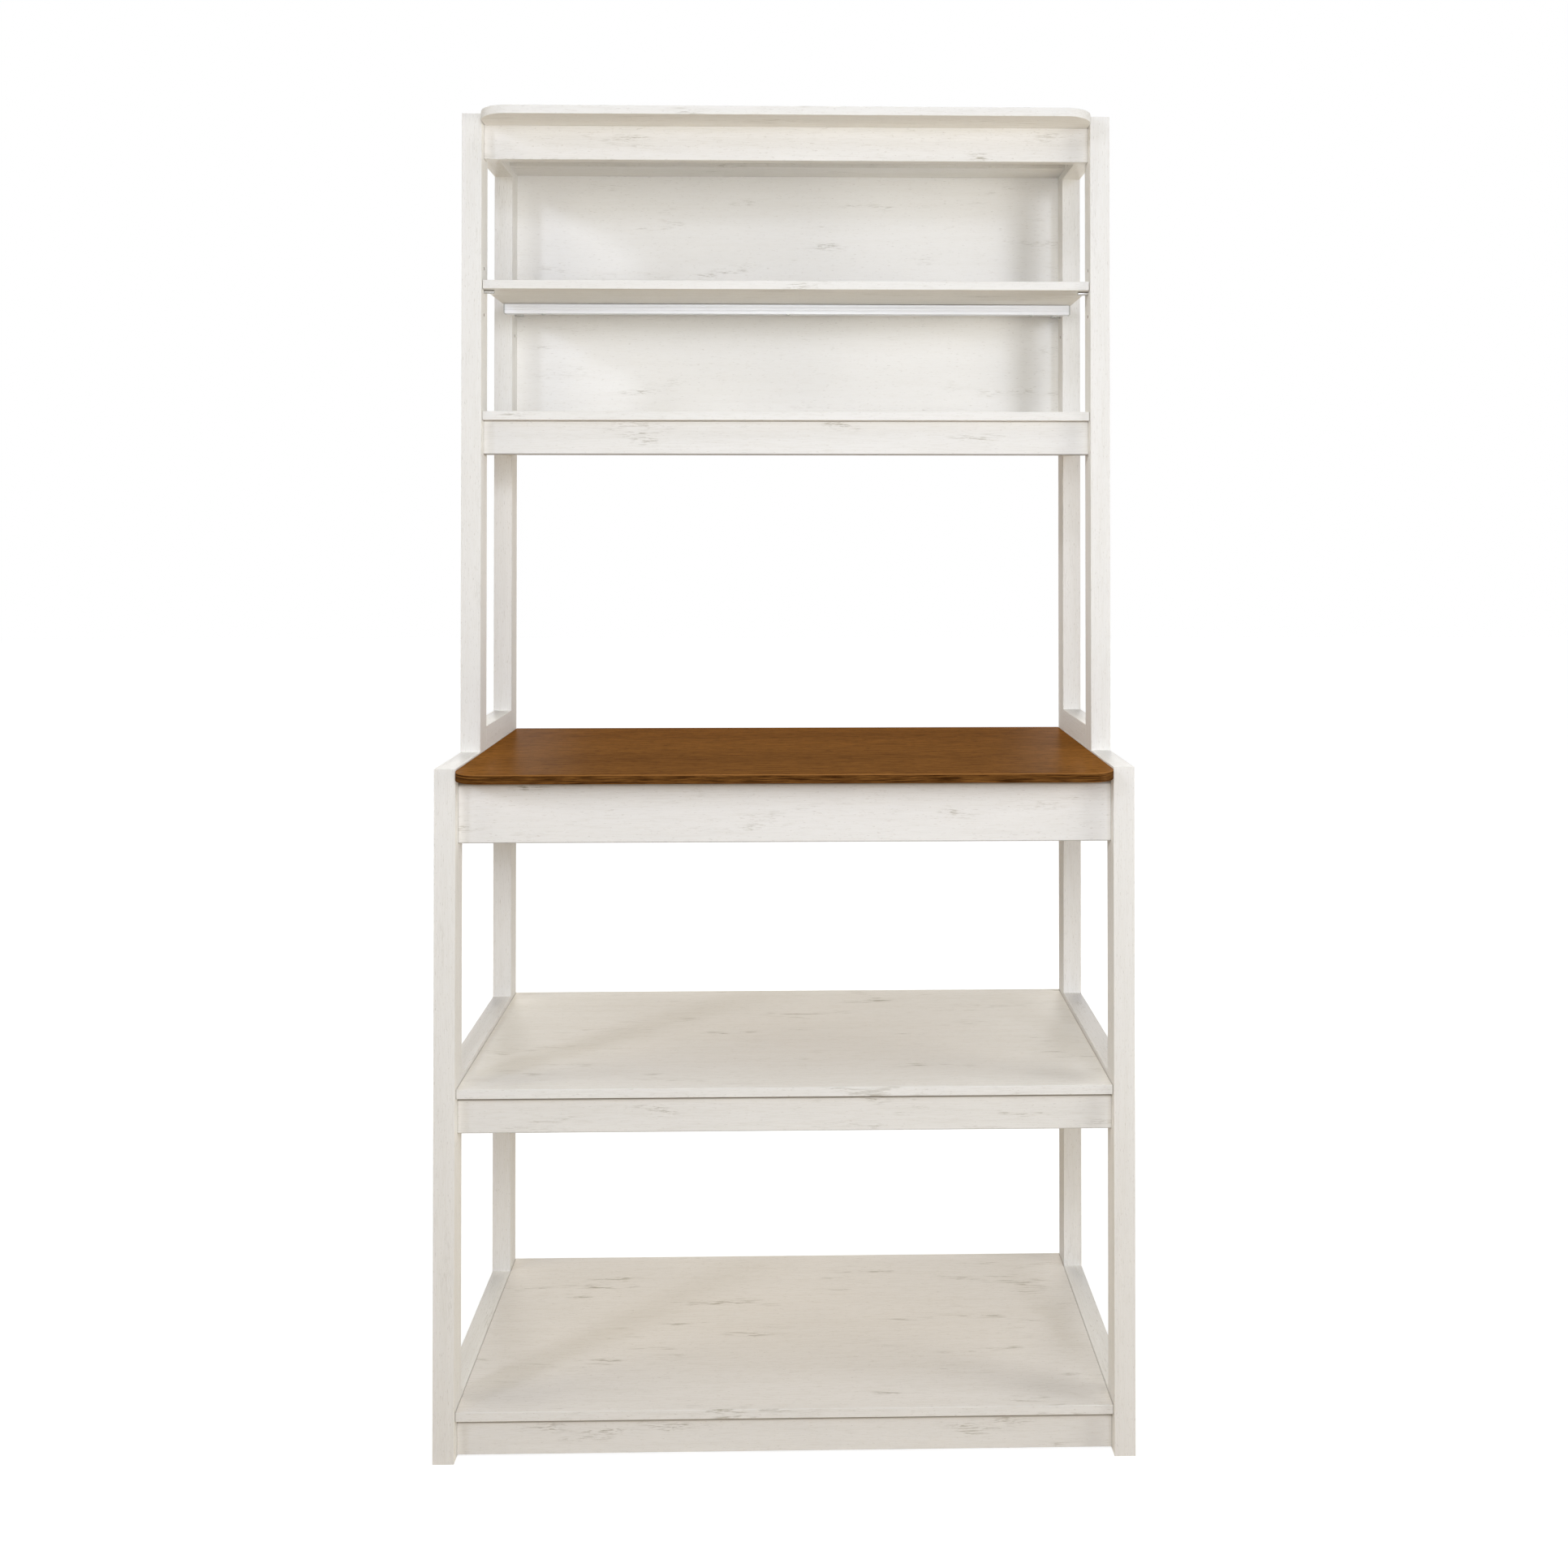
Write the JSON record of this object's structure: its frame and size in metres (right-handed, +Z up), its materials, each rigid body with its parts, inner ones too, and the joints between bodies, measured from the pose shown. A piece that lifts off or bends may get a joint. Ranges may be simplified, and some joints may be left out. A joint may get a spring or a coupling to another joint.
{
  "type": "bakers rack",
  "caption": "Open kitchen rack: side frames with shelves, a worktop with rounded front corners and a set-back hutch with an adjustable shelf.",
  "frame": {"origin": "on the floor under the middle of the bounding box", "axes": "+Z up, +X to the right of someone facing the rack, +Y towards the wall behind it"},
  "size_m": [0.889, 0.4378, 1.746],
  "materials": {
    "antique_white_board": "matt antique-white laminate with a fine wood grain and faint grey-brown rubbed streaks",
    "walnut_board": "satin walnut-brown laminate with a fine grain along the board",
    "beech_dowel": "plain beech",
    "zinc_steel": "zinc-plated steel",
    "aluminium_bar": "mill-finish extruded aluminium",
    "grey_plastic": "moulded grey plastic"
  },
  "bodies": {
    "rack": {"back_panel": "antique_white_board", "back_panel_nails": "zinc_steel", "base_left_bottom_rail": "antique_white_board", "base_left_front_post": "antique_white_board", "base_left_mid_rail": "antique_white_board", "base_left_rear_post": "antique_white_board", "base_left_top_rail": "antique_white_board", "base_right_bottom_rail": "antique_white_board", "base_right_front_post": "antique_white_board", "base_right_mid_rail": "antique_white_board", "base_right_rear_post": "antique_white_board", "base_right_top_rail": "antique_white_board", "board_pegs": "beech_dowel", "bottom_shelf": "antique_white_board", "bottom_shelf_apron": "antique_white_board", "bottom_shelf_rear_rail": "antique_white_board", "cam_bolts": "zinc_steel", "cam_nuts": "zinc_steel", "cross_rail_dowels": "beech_dowel", "fixed_shelf": "antique_white_board", "fixed_shelf_apron": "antique_white_board", "fixed_shelf_rear_rail": "antique_white_board", "frame_dowels": "beech_dowel", "hutch_bolts": "zinc_steel", "hutch_insert_nuts": "zinc_steel", "hutch_left_bottom_rail": "antique_white_board", "hutch_left_front_post": "antique_white_board", "hutch_left_rear_post": "antique_white_board", "hutch_left_shelf_rail": "antique_white_board", "hutch_left_top_rail": "antique_white_board", "hutch_right_bottom_rail": "antique_white_board", "hutch_right_front_post": "antique_white_board", "hutch_right_rear_post": "antique_white_board", "hutch_right_shelf_rail": "antique_white_board", "hutch_right_top_rail": "antique_white_board", "mid_shelf": "antique_white_board", "mid_shelf_apron": "antique_white_board", "mid_shelf_rear_rail": "antique_white_board", "top_apron": "antique_white_board", "top_panel": "antique_white_board", "top_rear_rail": "antique_white_board", "worktop": "walnut_board", "worktop_apron": "antique_white_board", "worktop_rear_rail": "antique_white_board"},
    "adjustable_shelf_set": {"adjustable_shelf": "antique_white_board", "shelf_stiffener": "aluminium_bar", "stiffener_end_cap_left": "grey_plastic", "stiffener_end_cap_right": "grey_plastic", "stiffener_screws": "zinc_steel", "stiffener_spacers": "zinc_steel"},
    "shelf_pin_front_left_body": {"shelf_pin_front_left": "zinc_steel"},
    "shelf_pin_front_right_body": {"shelf_pin_front_right": "zinc_steel"},
    "shelf_pin_rear_left_body": {"shelf_pin_rear_left": "zinc_steel"},
    "shelf_pin_rear_right_body": {"shelf_pin_rear_right": "zinc_steel"}
  },
  "joints": [
    {"name": "shelf_lift", "type": "slide", "parent": "rack", "child": "adjustable_shelf_set", "axis": [0, 0, 1], "range_m": [0, 0.15]},
    {"name": "shelf_pin_front_left_pull", "type": "slide", "parent": "rack", "child": "shelf_pin_front_left_body", "axis": [1, 0, 0], "range_m": [0, 0.009]},
    {"name": "shelf_pin_front_right_pull", "type": "slide", "parent": "rack", "child": "shelf_pin_front_right_body", "axis": [-1, 0, 0], "range_m": [0, 0.009]},
    {"name": "shelf_pin_rear_left_pull", "type": "slide", "parent": "rack", "child": "shelf_pin_rear_left_body", "axis": [1, 0, 0], "range_m": [0, 0.009]},
    {"name": "shelf_pin_rear_right_pull", "type": "slide", "parent": "rack", "child": "shelf_pin_rear_right_body", "axis": [-1, 0, 0], "range_m": [0, 0.009]}
  ]
}
